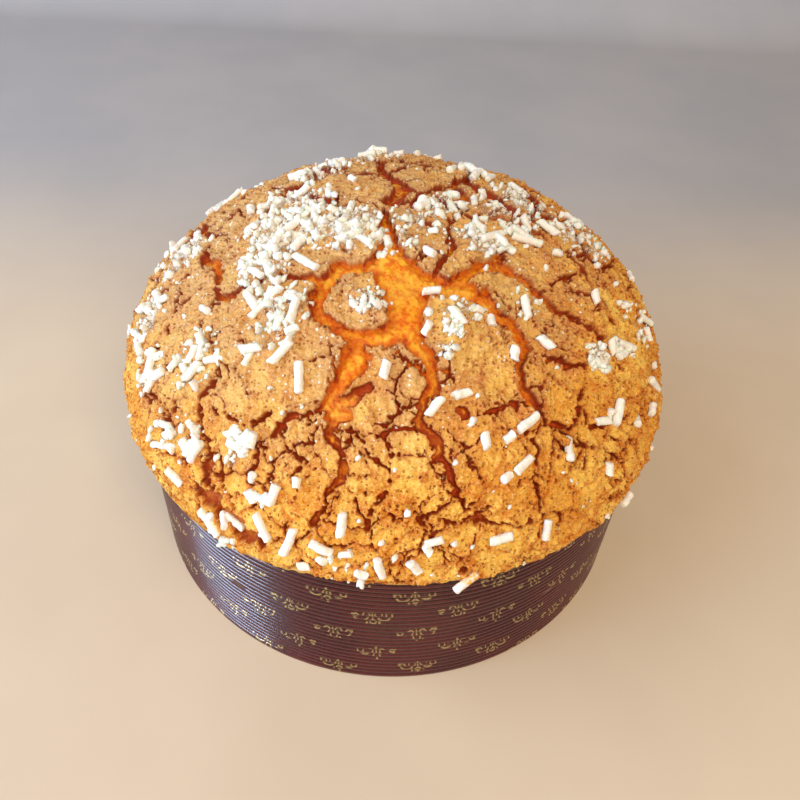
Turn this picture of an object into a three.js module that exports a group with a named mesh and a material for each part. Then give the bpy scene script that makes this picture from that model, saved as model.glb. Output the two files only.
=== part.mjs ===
// A panettone in its low paper baking mould, with pearl-sugar sticks on the glaze.
//
// Millimetres, +Z up. The origin is the centre of the mould's underside, where it stands.
// Bearings are degrees round the Z axis: 0 is the front (-Y) and 90 is the right (+X).
// Polar angles are degrees down the dome: 0 is its top and 90 is its widest ring.

import * as THREE from "three";

// Baking mould: a strip folded in at its foot, closed by a disc that lies on the fold.
const mouldRadius = 105;
const mouldHeight = 70;
const wallThickness = 0.8;
const foldWidth = 10;
const foldThickness = 0.6;
const discThickness = 0.5;
const discStepWidth = 1.2;

// Loaf: it fills the mould and swells over its rim into an elliptical dome.
const widestRadius = 109;
const widestHeight = 75.5;
const loafHeight = 147;
const rimLapRadius = 106.6;
const lipRadius = 108.2;
const lipHeight = 72;
const domeLean = new THREE.Vector2(0.7, 3.3);
const domeRings = 18;

// Sugar sticks: extruded rods, one size across and of many lengths.
const stickRadius = 1.7;
const stickSides = 8;

const gap = 0.3;
const turnSides = 72;

// Where each sugar stick lies: [bearing, polar angle, heading, length].
// A heading of 0 points downhill and one of 90 points along the ring, to greater bearings.
const sugarSticks = [
  // low on the front
  [-23, 79, 43, 10],
  [-18, 81, -15, 12],
  [-9, 73, 0, 8],
  [-12, 80, 68, 8],
  [-2, 84, 16, 8],
  [4, 84, 36, 6],
  [13, 90, -40, 11],
  [19, 78, -84, 8],
  [28, 80, -3, 9],
  // half way down the front
  [-4, 40, -10, 6],
  [8, 47, -40, 7],
  [15, 45, -80, 6],
  [18, 55, 0, 5],
  [28, 54, -73, 9],
  [25, 62, -72, 8],
  [36, 63, -42, 9],
  // right side
  [31, 32, -20, 5],
  [32, 40, -28, 5],
  [42, 41, 15, 6],
  [45, 33, -27, 8],
  [46, 62, 69, 6],
  [51, 63, -50, 9],
  [66, 55, 34, 9],
  [57, 70, 89, 7],
  [69, 70, 26, 9],
  // near the top
  [13, 23, 83, 6],
  [19, 30, 24, 7],
  [70, 18, 60, 11],
  [79, 25, 11, 12],
  [94, 30, -30, 9],
  [95, 10, 100, 11],
  [142, 25, 15, 9],
  [153, 28, 20, 9],
  [-150, 31, 0, 10],
  [-166, 37, 30, 10],
  // high on the left
  [-50, 24, 95, 12],
  [-62, 30, 80, 13],
  [-78, 23, 30, 11],
  [-90, 18, 100, 12],
  [-104, 29, 45, 11],
  // plate left of the middle
  [-51, 37, 85, 9],
  [-36, 34, 20, 9],
  [-32, 42, -15, 10],
  [-25, 45, 22, 10],
  // left side
  [-53, 51, 60, 10],
  [-31, 61, -25, 7],
  [-40, 70, -18, 9],
  [-22, 70, -9, 7],
  [-63, 64, 30, 11],
  [-44, 81, 75, 8],
  [-34, 86, 55, 11],
  // round the back
  [-90, 85, 30, 10],
  [-122, 60, 95, 12],
  [-177, 88, 20, 10],
  [160, 62, 70, 11],
  [118, 66, 10, 10],
  [90, 86, 15, 9],
];

const mouldPaper = new THREE.MeshStandardMaterial({ color: 0x4a2828, roughness: 0.45, metalness: 0 });
const discPaper = new THREE.MeshStandardMaterial({ color: 0x5a3a2c, roughness: 0.8, metalness: 0 });
const bakedGlaze = new THREE.MeshStandardMaterial({ color: 0xd08a3e, roughness: 0.75, metalness: 0 });
const pearlSugar = new THREE.MeshStandardMaterial({ color: 0xf6f0e2, roughness: 0.6, metalness: 0 });

// Turns an outline of [radius, height] points round the Z axis, starting at the front.
function turned(outline) {
  const points = outline.map(([radius, height]) => new THREE.Vector2(radius, height));
  const geometry = new THREE.LatheGeometry(points, turnSides);
  return geometry.rotateX(Math.PI / 2);
}

function named(name, geometry, material) {
  const mesh = new THREE.Mesh(geometry, material);
  mesh.name = name;
  return mesh;
}

function mouldWall() {
  const inside = mouldRadius - wallThickness;
  const foldEnd = mouldRadius - foldWidth;
  return turned([
    [foldEnd, 0],
    [mouldRadius, 0],
    [mouldRadius, mouldHeight],
    [inside, mouldHeight],
    [inside, foldThickness],
    [foldEnd, foldThickness],
    [foldEnd, 0],
  ]);
}

// Radii where the disc steps up from the floor onto the fold.
const discEdge = mouldRadius - wallThickness - gap;
const discStepTop = mouldRadius - foldWidth - gap;
const discStepFoot = discStepTop - discStepWidth;

// The loaf presses the disc's middle down to the floor, and its edge lies on the fold.
function mouldDisc() {
  const edgeHeight = foldThickness + gap;
  return turned([
    [0, 0],
    [discStepFoot, 0],
    [discStepTop, edgeHeight],
    [discEdge, edgeHeight],
    [discEdge, edgeHeight + discThickness],
    [discStepTop, edgeHeight + discThickness],
    [discStepFoot, discThickness],
    [0, discThickness],
  ]);
}

// Radius and height of the dome's outline at a polar angle in radians.
function domeOutline(polar) {
  return [
    widestRadius * Math.sin(polar),
    widestHeight + (loafHeight - widestHeight) * Math.cos(polar),
  ];
}

// The dome leans a little as it rises, so every height has its own centre.
function domeCentre(height) {
  const rise = Math.max(0, (height - widestHeight) / (loafHeight - widestHeight));
  return domeLean.clone().multiplyScalar(rise);
}

function loaf() {
  const bottom = discThickness + gap;
  const step = foldThickness + gap;
  const outline = [
    [0, bottom],
    [discStepFoot, bottom],
    [discStepTop, bottom + step],
    [discEdge, bottom + step],
    [discEdge, mouldHeight + gap],
    [rimLapRadius, mouldHeight + gap],
    [lipRadius, lipHeight],
  ];
  for (let ring = domeRings; ring > 0; ring -= 1) {
    outline.push(domeOutline((ring / domeRings) * (Math.PI / 2)));
  }
  outline.push([0, loafHeight]);
  const geometry = turned(outline);
  const positions = geometry.attributes.position;
  for (let index = 0; index < positions.count; index += 1) {
    const centre = domeCentre(positions.getZ(index));
    positions.setX(index, positions.getX(index) + centre.x);
    positions.setY(index, positions.getY(index) + centre.y);
  }
  return geometry;
}

// A point on the dome, from its bearing and polar angle in radians.
function domePoint(bearing, polar) {
  const [radius, height] = domeOutline(polar);
  const centre = domeCentre(height);
  return new THREE.Vector3(
    centre.x + radius * Math.sin(bearing),
    centre.y - radius * Math.cos(bearing),
    height,
  );
}

// Lays one rod on the dome, touching it at the rod's middle.
function sugarStick(name, [bearingDegrees, polarDegrees, headingDegrees, length]) {
  const bearing = THREE.MathUtils.degToRad(bearingDegrees);
  const polar = THREE.MathUtils.degToRad(polarDegrees);
  const heading = THREE.MathUtils.degToRad(headingDegrees);
  const nearby = 0.001;
  const point = domePoint(bearing, polar);
  const downhill = domePoint(bearing, polar + nearby).sub(point).normalize();
  const along = domePoint(bearing + nearby, polar).sub(point).normalize();
  const outward = downhill.clone().cross(along).normalize();
  const axis = downhill.multiplyScalar(Math.cos(heading)).addScaledVector(along, Math.sin(heading));
  const rod = new THREE.CylinderGeometry(stickRadius, stickRadius, length, stickSides);
  const mesh = named(name, rod, pearlSugar);
  mesh.position.copy(point).addScaledVector(outward, stickRadius + gap);
  mesh.quaternion.setFromUnitVectors(new THREE.Vector3(0, 1, 0), axis.normalize());
  return mesh;
}

const panettone = new THREE.Group();
panettone.add(named("mould_wall", mouldWall(), mouldPaper));
panettone.add(named("mould_disc", mouldDisc(), discPaper));
panettone.add(named("loaf", loaf(), bakedGlaze));
sugarSticks.forEach((place, index) => {
  const number = String(index + 1).padStart(2, "0");
  panettone.add(sugarStick(`sugar_stick_${number}`, place));
});

export default panettone;
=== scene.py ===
"""A panettone in its low paper mould: the looks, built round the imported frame.

Shapes are worked out in millimetres and turned into metres when a mesh is made.
Bearings are degrees round the Z axis: 0 is the front (-Y) and 90 is the right (+X).
Polar angles are degrees down the dome: 0 is its top and 90 is its widest ring.
"""
import itertools
import math

import bpy
import numpy as np
from mathutils import Matrix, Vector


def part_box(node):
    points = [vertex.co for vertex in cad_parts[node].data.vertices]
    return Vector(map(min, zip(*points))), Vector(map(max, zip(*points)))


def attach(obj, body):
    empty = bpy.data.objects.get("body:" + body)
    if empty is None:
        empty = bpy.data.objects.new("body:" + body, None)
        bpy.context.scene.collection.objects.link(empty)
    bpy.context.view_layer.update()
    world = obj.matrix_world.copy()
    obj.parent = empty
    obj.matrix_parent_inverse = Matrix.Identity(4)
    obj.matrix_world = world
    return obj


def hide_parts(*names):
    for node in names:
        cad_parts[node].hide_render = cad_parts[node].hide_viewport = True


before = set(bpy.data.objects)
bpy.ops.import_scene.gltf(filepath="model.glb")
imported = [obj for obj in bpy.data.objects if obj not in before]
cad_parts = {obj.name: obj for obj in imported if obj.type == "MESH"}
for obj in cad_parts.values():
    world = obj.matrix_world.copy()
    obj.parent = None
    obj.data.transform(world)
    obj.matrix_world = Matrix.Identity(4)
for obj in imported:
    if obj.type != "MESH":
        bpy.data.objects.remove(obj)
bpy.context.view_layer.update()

MM = 0.001


# ---- sizes from the frame

def node_points(node):
    """The vertices of a CAD node, in millimetres."""
    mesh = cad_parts[node].data
    points = np.empty(len(mesh.vertices) * 3)
    mesh.vertices.foreach_get("co", points)
    return points.reshape(-1, 3) / MM


loaf_points = node_points("loaf")
wall_low, wall_high = (np.array(corner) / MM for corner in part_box("mould_wall"))

MOULD_RADIUS = wall_high[0]
MOULD_HEIGHT = wall_high[2]
WIDEST_RADIUS = loaf_points[:, 0].max()
WIDEST_HEIGHT = loaf_points[loaf_points[:, 0].argmax(), 2]
LOAF_BOTTOM = loaf_points[:, 2].min()
DOME_LEAN = loaf_points[loaf_points[:, 2].argmax(), :2]
DOME_RISE = loaf_points[:, 2].max() - WIDEST_HEIGHT
STICK_NODES = sorted(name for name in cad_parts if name.startswith("sugar_stick_"))

# ---- glaze, cracks and sugar

GRID = 760   # vertices along each side of the dome's grid
DOME_SHARE = 0.95                   # of the grid's radius; the rest is the lip over the rim
GLAZE_THICKNESS = 2.4
LIP_THICKNESS = 1.1                 # of the glaze where it hangs over the mould
LIP_TUCK = 50                       # degrees that its edge turns in under itself
CLEARANCE = 0.3                     # between the loaf and its mould
RIM_CLEARANCE = 0.4                 # and above the mould's rim
HIDDEN_BOTTOM = LOAF_BOTTOM + 1     # above the step of the mould's disc
PLATE_SIZE = 30                     # of the glaze's plates behind
PIECE_SIZE = 12                     # of the pieces that the plates break into
CURL_HEIGHT = 0.85                  # of the pieces' edges
CURL_REACH = 1.8
BAKED_REACH = 1.9                   # how far from a gap the glaze is baked darker
PORE_SIZE = 1.6
PORE_DEPTH = 0.9

# What the loaf's material reads at each vertex.
LOAF_FIELDS = ("glaze", "gap_depth", "powder", "pore", "pale", "wide", "rim")

# Layers of noise on the loaf: each is (amount, size, seed).
WARP = ((1.2, 7, 11), (1.0, 2.6, 21), (0.7, 1.1, 24))
SWELL = ((0.8, 26, 61), (0.5, 9, 62))
LIP_WAVES = ((0.8, 9, 5), (0.9, 3, 6))
POWDER_PATCHES = ((0.62, 5, 71), (0.45, 2, 74))

# Gaps and cracks of the baked glaze: each point is (bearing, polar angle, width in mm).
CRACKS = [
    # open crumb from the top down to the middle of the front
    [(-60, 5, 3), (-15, 10, 6), (-10, 15.5, 12), (-3, 19.5, 17), (1, 25, 13), (2, 30, 11),
     (5, 34.5, 8), (8, 38.5, 5.5), (8.5, 42, 3.5), (5.5, 45, 3), (4, 49, 3), (7, 51, 2.5),
     (8.5, 54, 3), (8.5, 56.5, 3), (6, 59, 1.5), (4, 60.5, 1)],
    # left of the first island
    [(-10, 16, 6), (-24, 19, 6), (-35, 20.5, 8), (-35, 24, 7), (-33, 27.5, 6), (-28, 31.5, 4),
     (-20, 33, 4), (-14, 34, 5), (-5, 32.5, 7), (1, 31, 8)],
    # left branch
    [(-14, 34, 5), (-13, 38, 10), (-14, 41, 8), (-15.5, 44, 5), (-16, 47.5, 5), (-14, 49.5, 7),
     (-12, 49.5, 5), (-14.5, 53, 3), (-12.5, 55, 2.5), (-11, 57.5, 2), (-10, 60, 4),
     (-11.5, 65, 2.5), (-12.5, 70, 1.5), (-14, 73.5, 2.5)],
    [(-7, 42.5, 1.5), (-10.5, 45.5, 2.5), (-14, 47, 4)],
    # first right branch
    [(2, 19.5, 13), (8, 20.5, 11), (16, 21.5, 9), (24, 23, 8), (31, 25, 7), (34, 28, 6),
     (36, 32.5, 5), (37, 36, 5), (36.5, 39, 4), (32, 42.5, 3), (31, 46, 3.5),
     (31.5, 50.5, 3), (33, 52, 2), (32, 55, 2)],
    # second right branch
    [(24, 22, 5), (40, 20.5, 4.5), (52, 22.5, 5), (56, 28, 4), (54.5, 32, 4), (55, 36, 3.5),
     (58, 40.5, 2), (59, 46, 2.5), (60.5, 50.5, 2), (60, 55.5, 1.5)],
    [(52, 22.5, 3), (60, 20.5, 4), (66, 22, 2)],
    [(54.5, 32, 1.5), (60, 33, 2), (68, 33.5, 1.5), (72, 35.5, 2), (77, 38, 1.5)],
    [(83, 34.5, 2), (83, 38, 3), (77, 40, 2), (74, 43, 2), (71.5, 45.5, 2), (69, 48.5, 1.2)],
    [(92, 17.5, 4), (93, 23, 4.5), (90, 26.5, 4), (89, 29, 2.5)],
    [(38, 41.5, 2), (41, 43.5, 2), (45, 46, 2.5), (49, 49, 2)],
    [(88, 14, 3), (88, 10.5, 2), (70, 9, 2), (48, 10.5, 2.5), (38, 14.5, 3), (26, 16.5, 2.5),
     (18, 18.5, 2)],
    [(35, 6, 3), (38, 8.5, 4)],
    [(105, 12, 4), (122, 14, 5), (142, 16, 3)],
    # left of the top
    [(-88, 42, 2), (-83, 43, 3), (-77, 40.5, 5), (-70, 39.5, 3), (-67, 41.5, 2.5), (-61.5, 41, 4),
     (-59, 37.5, 1.5), (-57, 32.5, 2), (-54, 28.5, 2), (-46, 26.5, 3.5), (-38, 24, 4)],
    [(-61, 41.5, 1.2), (-59, 47, 1), (-56, 50, 0.8)],
    [(-80, 45.5, 1.5), (-81, 53.5, 1.5), (-83, 61, 1.2)],
    [(-68, 56, 2), (-65, 58, 2.5), (-65, 65, 1.8), (-65, 70, 1.5)],
    [(-54, 46, 1.5), (-51.5, 49, 1.5), (-45, 50.5, 1.5), (-44, 53.5, 2.2), (-45, 59, 1.5),
     (-44.5, 61, 1.8), (-42, 63.5, 2.2), (-39, 65.5, 2.2), (-37, 68, 2), (-37, 72.5, 2.5),
     (-35, 75.5, 2), (-33, 77, 2.5)],
    # torn edge low on the left
    [(-38.5, 78.5, 3), (-36, 80, 6), (-33.5, 78.5, 5), (-31, 82, 8), (-28.5, 80, 5),
     (-26.5, 84, 7), (-24, 82.5, 4), (-22.5, 85, 3)],
    [(-42, 60, 1), (-33, 58.5, 1.2), (-30.5, 57, 1.2), (-27.5, 53, 1.2)],
    [(-30.5, 58, 1.5), (-27.5, 62, 1.8), (-27, 65.5, 1.5), (-28.5, 68, 1.8), (-27, 71, 2)],
    [(-16, 48, 2), (-22.5, 52, 1.5), (-24.5, 55, 2), (-25.5, 58, 1.5)],
    # middle of the front
    [(-10, 52.5, 2), (-7, 54.5, 1), (-6, 57, 1), (-2.5, 58.5, 1), (-0.5, 60.5, 1), (-2, 63.5, 1.3),
     (-3, 65.5, 2), (-4.5, 69, 1), (-4.5, 73, 1)],
    [(-4, 52.5, 1.2), (0, 51, 1.5), (4, 51, 2)],
    [(-21, 58, 1), (-18.5, 61.5, 1.3), (-19, 64, 1.2)],
    [(8.5, 57, 1.2), (10, 59.5, 1.4), (11, 62, 1.4), (11.5, 65, 1.4), (14, 69, 1), (17, 69, 1)],
    [(10.5, 66, 1), (7.5, 68.5, 1.2), (4, 70, 1), (5.5, 73, 1), (5.5, 75, 0.8)],
    [(17.5, 48.5, 1.5), (21, 49, 1.8), (25.5, 49.5, 1.8), (29, 50, 1.5)],
    [(31, 54.5, 1.5), (28.5, 57.5, 1.6), (28, 61.5, 1.8), (26.5, 65, 1.4), (27, 68.5, 1.6),
     (27.5, 73, 1.5), (27, 77, 1.2), (26.5, 81, 1.6), (25.5, 84.5, 1)],
    [(32, 54.5, 1.5), (34.5, 56.5, 2), (37, 58.5, 2), (41, 57.5, 1.6), (45, 52.5, 1.4)],
    [(43, 58, 1.4), (44, 61, 1.8), (46, 63, 2.2), (50.5, 64, 1.8), (54, 66, 1)],
    [(39.5, 62, 1), (39.5, 65, 1.2), (39, 69, 1)],
    [(48, 67.5, 1.2), (50, 71, 1.3), (50.5, 75, 1)],
    [(17.5, 69, 1), (14, 71.5, 1.2), (17, 74, 1), (22, 76, 0.8), (26, 76, 0.8)],
    [(8, 71, 0.8), (14, 71.5, 1)],
    # small open spots of crumb
    [(12.5, 86.5, 3), (14, 87.5, 2.5)],
    [(14.5, 47.5, 3), (15, 48.5, 2.5)],
]

# Patches of sugar: (bearing, polar angle, radius in mm, whole sticks, chips, powder 0 to 1).
SUGAR_PATCHES = [
    (-62, 13, 15, 6, 90, 1.0),
    (-78, 24, 16, 8, 100, 0.9),
    (-100, 22, 16, 5, 80, 0.9),
    (-60, 31, 11, 4, 50, 0.7),
    (-40, 34, 10, 4, 60, 0.6),
    (-38, 41, 9, 3, 26, 0.3),
    (-52, 53, 11, 7, 40, 0.4),
    (-64, 66, 10, 6, 30, 0.4),
    (-78, 62, 12, 7, 36, 0.6),
    (-92, 50, 13, 4, 36, 0.6),
    (-50, 72, 7, 3, 10, 0.2),
    (-43, 66, 6, 2, 12, 0.3),
    (-32, 62, 5, 2, 30, 0.7),
    (-33, 67, 5, 0, 4, 0.6),
    (-24, 70, 5, 1, 9, 0.2),
    (-31, 88, 7, 3, 12, 0.2),
    (-8, 87, 8, 1, 9, 0.1),
    (-13, 26, 6, 0, 30, 0.7),
    (-20, 10, 12, 1, 36, 0.7),
    (30, 6, 13, 1, 26, 0.6),
    (62, 11, 13, 1, 20, 0.5),
    (100, 20, 15, 2, 30, 0.6),
    (20, 29, 8, 0, 22, 0.5),
    (13, 35.5, 3, 0, 16, 0.7),
    (16.5, 32, 3, 0, 18, 0.8),
    (64, 17, 9, 4, 30, 0.8),
    (84, 24, 9, 2, 20, 0.7),
    (47, 32, 7, 0, 18, 0.4),
    (55, 50, 6, 0, 34, 0.8),
    (64, 54, 5, 1, 16, 0.3),
    (78, 58, 10, 2, 16, 0.3),
    (103, 40, 18, 5, 60, 0.7),
    (116, 28, 14, 3, 44, 0.8),
    (147, 27, 9, 6, 18, 0.5),
    (105, 8, 10, 4, 30, 0.8),
    (-165, 33, 13, 6, 30, 0.7),
    (-138, 28, 13, 4, 34, 0.7),
    (172, 52, 16, 7, 30, 0.4),
    (-128, 56, 15, 8, 30, 0.4),
    (140, 66, 13, 6, 20, 0.3),
    (-108, 74, 12, 5, 16, 0.3),
    (-150, 80, 10, 4, 10, 0.2),
    (110, 80, 9, 3, 8, 0.2),
]
LOOSE_CHIPS = 170

# Broken sticks: (bearing, polar angle, heading from downhill, length in mm).
SHORT_STICKS = [
    (7, 76, -72, 6), (6, 78, 37, 4), (-15, 87, 88, 4), (-12, 84, -78, 4), (-5, 86, 70, 4),
    (23, 55, -62, 4), (21, 63, -72, 3.5), (44, 73, -25, 4), (63, 72, -60, 4), (29, 29, 67, 5),
    (61, 51, -33, 6), (49, 62, -30, 5), (70, 42, -36, 5), (-41, 67, 12, 4), (-27, 68, -18, 4),
    (-18, 65, 20, 3.5), (-33, 63, 87, 5), (-29, 60, 10, 5), (-26, 72, 55, 4.5),
]

# Single lumps: (bearing, polar angle, radius in mm).
LUMPS = [
    (0.5, 81, 1.2), (2, 68.5, 1.2), (-2, 76.5, 1.1), (10.5, 77, 1.1), (-7.5, 80.5, 1.1),
    (-6, 71, 1.0), (75, 69, 1.5), (58, 87, 1.2), (9.5, 28, 1.7), (16, 50.5, 1.5),
    (-12.5, 25.5, 1.5), (81, 31.5, 1.6), (69, 30, 1.3), (88, 43, 1.4), (84, 48, 1.3),
    (78, 49.5, 1.2), (-42, 65, 1.7), (-54, 78, 1.7), (-47, 70.5, 1.5), (-10, 79, 1.0),
]
SHORT_STICK_RADIUS = 1.45
ROD_SHARE = 0.9                     # of a CAD stick's radius, for its rough rod
TOASTED_STICK = "sugar_stick_07"    # hangs over the rim, half of it caramelised

# How far the lip hangs below the widest ring: (bearing, drop in mm).
LIP_DROP = [(-180, 8), (-120, 10), (-80, 13), (-52, 14), (-30, 10), (-12, 5.8), (5, 5.6),
            (18, 5.8), (30, 7.6), (60, 6.5), (120, 7), (180, 8)]

# ---- paper mould and its print

MOULD_COLUMNS = 360     # of the mesh, round the wall
WALL_THICKNESS = 0.8
RIB_PITCH = 2.6
RIB_DEPTH = 0.95
RIB_TOP = MOULD_HEIGHT - 0.3
RIBBED_HEIGHT = MOULD_HEIGHT - 1.5
RIBS = round(RIBBED_HEIGHT / RIB_PITCH)
RIB_ROWS = 8            # rows of the mesh on each rib
RIB_STEP = RIBBED_HEIGHT / RIBS
SEAM_BEARING = 150
SEAM_WIDTH = 12
SEAM_HEIGHT = 0.3
MOULD_WAVES = ((0.25, 24, 91), (0.08, 7, 92))   # (amount, size, seed)
HOLE_DEPTH = 0.7        # of the dimples where skewers go through
SKEWER_HOLES = [(37, 33), (-33, 36), (143, 34), (-147, 35)]     # (bearing, height)
HOLE_SIZE = (2.6, 1.5)  # how far a dimple reaches sideways and upward
FOLD_WIDTH = 10
FOLD_THICKNESS = 0.6
LAYOUT_STRIPS = 3       # that the mould's wall is cut into when it is laid flat
OUTSIDE_SHARE = 0.7     # of each strip, taken by the ribbed outside
ORNAMENT_COLUMNS = 21
ORNAMENT_ROW = 12.6
ORNAMENT_SCALE = 0.92
PRINT_DRIFT = 2          # double rows that the slanted print climbs in one turn
PRINT_START = (-2.0, 44.0)      # of one ornament's middle: along the wall from the front, and up

# ---- camera

CAMERA_PLACE = (-5, -253, 303)
CAMERA_PITCH = 44.8     # degrees down from level
CAMERA_YAW = 1.8        # degrees to the right
CAMERA_ROLL = 3.5
CAMERA_LENS = 36
SENSOR_WIDTH = 36


# ---- repeatable random fields

def random_at(cells, seed):
    """A repeatable random number from 0 to 1 for each whole-numbered cell."""
    mixed = cells[:, 0] * 73856093 ^ cells[:, 1] * 19349663 ^ cells[:, 2] * 83492791
    mixed = (mixed + seed * 1013904223) & 0x7FFFFFFF
    mixed = ((mixed ^ (mixed >> 13)) * 1274126177) & 0x7FFFFFFF
    mixed = ((mixed ^ (mixed >> 15)) * 668265263) & 0x7FFFFFFF
    return (mixed >> 7) / float(0x7FFFFFFF >> 7)


def noise(points, size, seed):
    """A smooth random field from -1 to 1 whose lumps are about size across."""
    place = points / size
    cells = np.floor(place).astype(np.int64)
    part = place - cells
    ease = part * part * (3 - 2 * part)
    total = np.zeros(len(points))
    for corner in itertools.product((0, 1), repeat=3):
        weight = np.ones(len(points))
        for axis, side in enumerate(corner):
            weight *= ease[:, axis] if side else 1 - ease[:, axis]
        total += weight * random_at(cells + corner, seed)
    return 2 * total - 1


def noise_vector(points, size, seed):
    return np.stack([noise(points, size, seed + axis) for axis in range(3)], axis=1)


def layered(points, layers, field=noise):
    """The sum of several layers of noise."""
    return sum(amount * field(points, size, seed) for amount, size, seed in layers)


def random_cells(points, size, seed):
    """Splits space into random cells about size across.

    Gives the distance to the nearest border, the distance to the own cell's centre and a
    random number that belongs to the cell.
    """
    cells = np.floor(points / size).astype(np.int64)
    count = len(points)
    near = np.full(count, 1e9)
    second = np.full(count, 1e9)
    near_centre = np.zeros((count, 3))
    second_centre = np.zeros((count, 3))
    own = np.zeros(count)
    for step in itertools.product((-1, 0, 1), repeat=3):
        lattice = cells + step
        jitter = np.stack([random_at(lattice, seed + axis) for axis in range(3)], axis=1)
        centre = (lattice + jitter) * size
        away = ((points - centre) ** 2).sum(axis=1)
        closer = away < near
        runner_up = ~closer & (away < second)
        second = np.where(closer, near, np.where(runner_up, away, second))
        second_centre = np.where(closer[:, None], near_centre, second_centre)
        second_centre[runner_up] = centre[runner_up]
        near = np.where(closer, away, near)
        near_centre[closer] = centre[closer]
        own[closer] = random_at(lattice, seed + 3)[closer]
    between = np.linalg.norm(second_centre - near_centre, axis=1)
    return (second - near) / (2 * between), np.sqrt(near), own


def smooth_step(value, low, high):
    part = np.clip((value - low) / (high - low), 0, 1)
    return part * part * (3 - 2 * part)


# ---- the dome

def dome_points(bearing, polar):
    """Points on the plain dome, from angles in radians."""
    height = DOME_RISE * np.cos(polar)
    rise = np.clip(height / DOME_RISE, 0, 1)
    radius = WIDEST_RADIUS * np.sin(polar)
    return np.stack([
        radius * np.sin(bearing) + DOME_LEAN[0] * rise,
        -radius * np.cos(bearing) + DOME_LEAN[1] * rise,
        WIDEST_HEIGHT + height,
    ], axis=-1)


def dome_normals(bearing, polar):
    across = np.sin(polar) / WIDEST_RADIUS
    normals = np.stack([
        across * np.sin(bearing),
        -across * np.cos(bearing),
        np.cos(polar) / DOME_RISE,
    ], axis=-1)
    return normals / np.linalg.norm(normals, axis=-1, keepdims=True)


def dome_spot(bearing, polar):
    """The point and the normal at a bearing and polar angle in degrees."""
    angles = np.radians(bearing), np.radians(polar)
    return dome_points(*angles), dome_normals(*angles)


def dome_angles(points):
    """Bearing and polar angle, in radians, of points on or near the dome."""
    height = points[..., 2] - WIDEST_HEIGHT
    rise = np.clip(height / DOME_RISE, 0, 1)
    across = points[..., 0] - DOME_LEAN[0] * rise
    along = points[..., 1] - DOME_LEAN[1] * rise
    polar = np.arctan2(np.hypot(across, along) / WIDEST_RADIUS, height / DOME_RISE)
    return np.arctan2(across, -along), polar


def grid_to_disc(across, along):
    """Turns a square grid from -1 to 1 into even rings: distance from the centre, and bearing."""
    distance = np.maximum(np.abs(across), np.abs(along))
    safe = np.where(distance == 0, 1, distance)
    quarter = math.pi / 4
    bearing = np.select(
        [across >= np.abs(along), along >= np.abs(across), -across >= np.abs(along)],
        [along / safe * quarter, math.pi / 2 - across / safe * quarter,
         math.pi - along / safe * quarter],
        -math.pi / 2 + across / safe * quarter,
    )
    return distance, bearing


def disc_to_grid(distance, bearing):
    """The grid place, from -1 to 1 each way, of a distance and bearing."""
    turn = np.mod(bearing + math.pi / 4, 2 * math.pi) / (math.pi / 2)
    side = np.floor(turn)
    part = (2 * (turn - side) - 1) * distance
    across = np.select([side == 0, side == 1, side == 2], [distance, -part, -distance], part)
    along = np.select([side == 0, side == 1, side == 2], [part, distance, -part], -distance)
    return across, along


def crack_distance(points):
    """How far each point is outside the nearest listed crack, and that crack's half width."""
    nearest = np.full(len(points), 50.0)
    breadth = np.zeros(len(points))
    reach = 16.0            # beyond this, a crack's distance isn't needed
    for crack in CRACKS:
        bearing, polar, width = np.array(crack, dtype=float).T
        places, _ = dome_spot(bearing, polar)
        for start, end, start_width, end_width in zip(places, places[1:], width, width[1:]):
            middle = (start + end) / 2
            length = np.linalg.norm(end - start)
            close = np.abs(points - middle).max(axis=1) < length / 2 + reach
            offset = points[close] - start
            along = np.clip(offset @ (end - start) / length ** 2, 0, 1)
            away = np.linalg.norm(offset - along[:, None] * (end - start), axis=1)
            half_width = (start_width + (end_width - start_width) * along) / 2
            nearer = away - half_width < nearest[close]
            chosen = np.flatnonzero(close)[nearer]
            nearest[chosen] = (away - half_width)[nearer]
            breadth[chosen] = half_width[nearer]
    return nearest, breadth


def powder_field(points):
    """How thickly powdered sugar lies, from 0 to about 1."""
    powder = np.zeros(len(points))
    for bearing, polar, radius, _, _, strength in SUGAR_PATCHES:
        centre, _ = dome_spot(bearing, polar)
        away = np.linalg.norm(points - centre, axis=1)
        powder = np.maximum(powder, strength * (1 - smooth_step(away, 0.35 * radius, 1.15 * radius)))
    return np.clip(powder * (0.75 + layered(points, POWDER_PATCHES)), 0, 1)


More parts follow.
